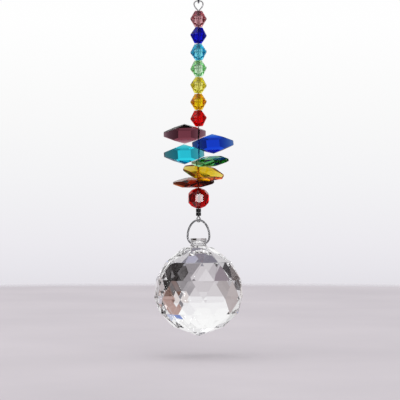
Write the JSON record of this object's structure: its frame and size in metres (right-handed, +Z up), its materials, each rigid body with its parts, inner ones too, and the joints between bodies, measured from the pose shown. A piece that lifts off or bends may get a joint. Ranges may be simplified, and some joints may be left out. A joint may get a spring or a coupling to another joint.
{
  "type": "hanging crystal suncatcher",
  "caption": "Hanging suncatcher: a clear faceted glass ball on an oval wire ring, under a wire strand of coloured bicones, crosswise drops and a round bead.",
  "frame": {"origin": "the point inside the top of the hanging ring where a hook bears", "axes": "+Z up along the strand, +X to the viewer's right, -Y towards the viewer"},
  "size_m": [0.0298, 0.0298, 0.1197],
  "materials": {
    "rose_glass": "faceted and polished",
    "cobalt_glass": "faceted and polished",
    "aqua_glass": "faceted and polished",
    "green_glass": "faceted and polished",
    "yellow_glass": "faceted and polished",
    "amber_glass": "faceted and polished",
    "red_glass": "faceted and polished",
    "amethyst_glass": "faceted and polished",
    "sapphire_glass": "faceted and polished",
    "teal_glass": "faceted and polished",
    "emerald_glass": "faceted and polished",
    "gold_glass": "faceted and polished",
    "topaz_glass": "faceted and polished",
    "ruby_glass": "faceted and polished",
    "clear_crystal": "faceted and polished",
    "ring_steel": "dark polished steel wire",
    "bead_wire_steel": "bright drawn wire",
    "crimp_gunmetal": "dark plated, satin"
  },
  "bodies": {
    "root": {"hanging_ring": "ring_steel", "bead_wire": "bead_wire_steel", "bicone_rose": "rose_glass", "bicone_cobalt": "cobalt_glass", "bicone_aqua": "aqua_glass", "bicone_green": "green_glass", "bicone_yellow": "yellow_glass", "bicone_amber": "amber_glass", "bicone_red": "red_glass", "drop_amethyst": "amethyst_glass", "drop_sapphire": "sapphire_glass", "drop_teal": "teal_glass", "drop_emerald": "emerald_glass", "drop_gold": "gold_glass", "drop_topaz": "topaz_glass", "round_bead_red": "ruby_glass", "crimp_upper": "crimp_gunmetal", "crimp_lower": "crimp_gunmetal", "ball_ring": "ring_steel", "crystal_ball": "clear_crystal"}
  },
  "joints": []
}
